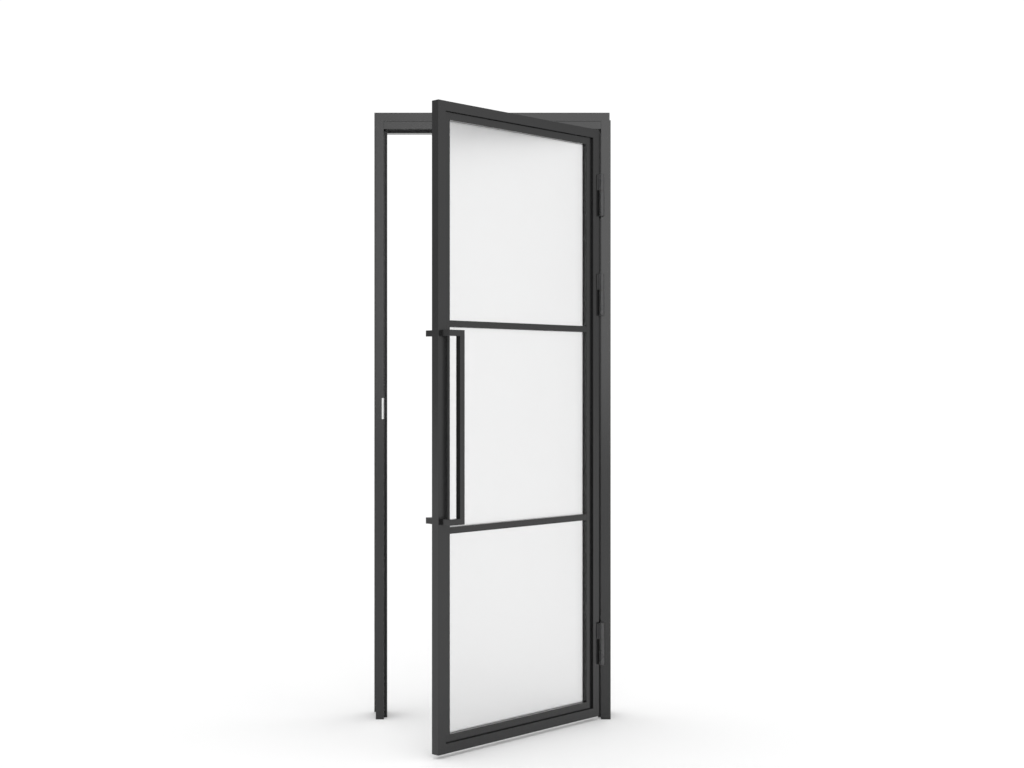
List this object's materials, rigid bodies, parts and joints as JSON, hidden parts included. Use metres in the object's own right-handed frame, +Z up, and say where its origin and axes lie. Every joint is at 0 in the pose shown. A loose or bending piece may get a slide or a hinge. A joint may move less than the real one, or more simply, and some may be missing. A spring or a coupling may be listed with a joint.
{
  "type": "glass door",
  "caption": "Framed swing door: a slim metal leaf with frosted glass between flat crossbars, offset pull handles on both faces and a magnetic catch.",
  "frame": {"origin": "on the floor, midway between the jambs' outer sides, level with the frame's front face", "axes": "+Z up, +X towards the hinge jamb seen from the side that the leaf opens to, +Y through the doorway, away from that side"},
  "size_m": [0.869, 0.6992, 2.214],
  "materials": {
    "frame_paint": "anthracite textured powder coat",
    "leaf_paint": "anthracite textured powder coat",
    "handle_paint": "anthracite powder coat on square bar",
    "hinge_paint": "anthracite powder coat",
    "frosted_glass": "acid-etched frosted glass",
    "black_rubber": "black extruded rubber",
    "stainless": "brushed stainless steel",
    "zinc_steel": "zinc-plated steel",
    "cast_zinc": "die-cast zinc alloy",
    "black_plastic": "black moulded plastic",
    "magnet_nickel": "nickel-plated magnet",
    "bearing_bronze": "sintered bronze",
    "tape_grey": "grey foam bonding tape"
  },
  "bodies": {
    "frame": {"strike_jamb": "frame_paint", "hinge_jamb": "frame_paint", "head": "frame_paint", "strike_seal": "black_rubber", "hinge_seal": "black_rubber", "head_seal": "black_rubber", "strike_corner_cleat": "cast_zinc", "hinge_corner_cleat": "cast_zinc", "corner_screws": "zinc_steel", "strike_plate": "stainless", "strike_box": "black_plastic", "hinge_frame_halves": "hinge_paint", "hinge_pins": "zinc_steel", "hinge_washers": "bearing_bronze"},
    "leaf": {"closing_stile": "leaf_paint", "hinge_stile": "leaf_paint", "top_rail": "leaf_paint", "bottom_rail": "leaf_paint", "glass_pane": "frosted_glass", "front_gasket": "black_rubber", "rear_gasket": "black_rubber", "setting_blocks": "black_plastic", "closing_side_bead": "leaf_paint", "hinge_side_bead": "leaf_paint", "top_bead": "leaf_paint", "bottom_bead": "leaf_paint", "front_upper_bar": "leaf_paint", "front_lower_bar": "leaf_paint", "rear_upper_bar": "leaf_paint", "rear_lower_bar": "leaf_paint", "front_bar_tapes": "tape_grey", "rear_bar_tapes": "tape_grey", "front_handle": "handle_paint", "rear_handle": "handle_paint", "handle_bolts": "zinc_steel", "catch_faceplate": "leaf_paint", "catch_case": "cast_zinc", "catch_keeper": "zinc_steel", "hinge_leaf_halves": "hinge_paint"},
    "plunger": {"catch_plunger": "cast_zinc", "catch_magnet": "magnet_nickel"}
  },
  "joints": [
    {"name": "leaf_swing", "type": "hinge", "parent": "frame", "child": "leaf", "pos_m": [0.392, -0.0085, 1.0695], "axis": [0, 0, 1], "range_deg": [-45, 65]},
    {"name": "catch_travel", "type": "slide", "parent": "leaf", "child": "plunger", "axis": [-0.7071, -0.7071, 0], "range_m": [0, 0.0022]}
  ]
}
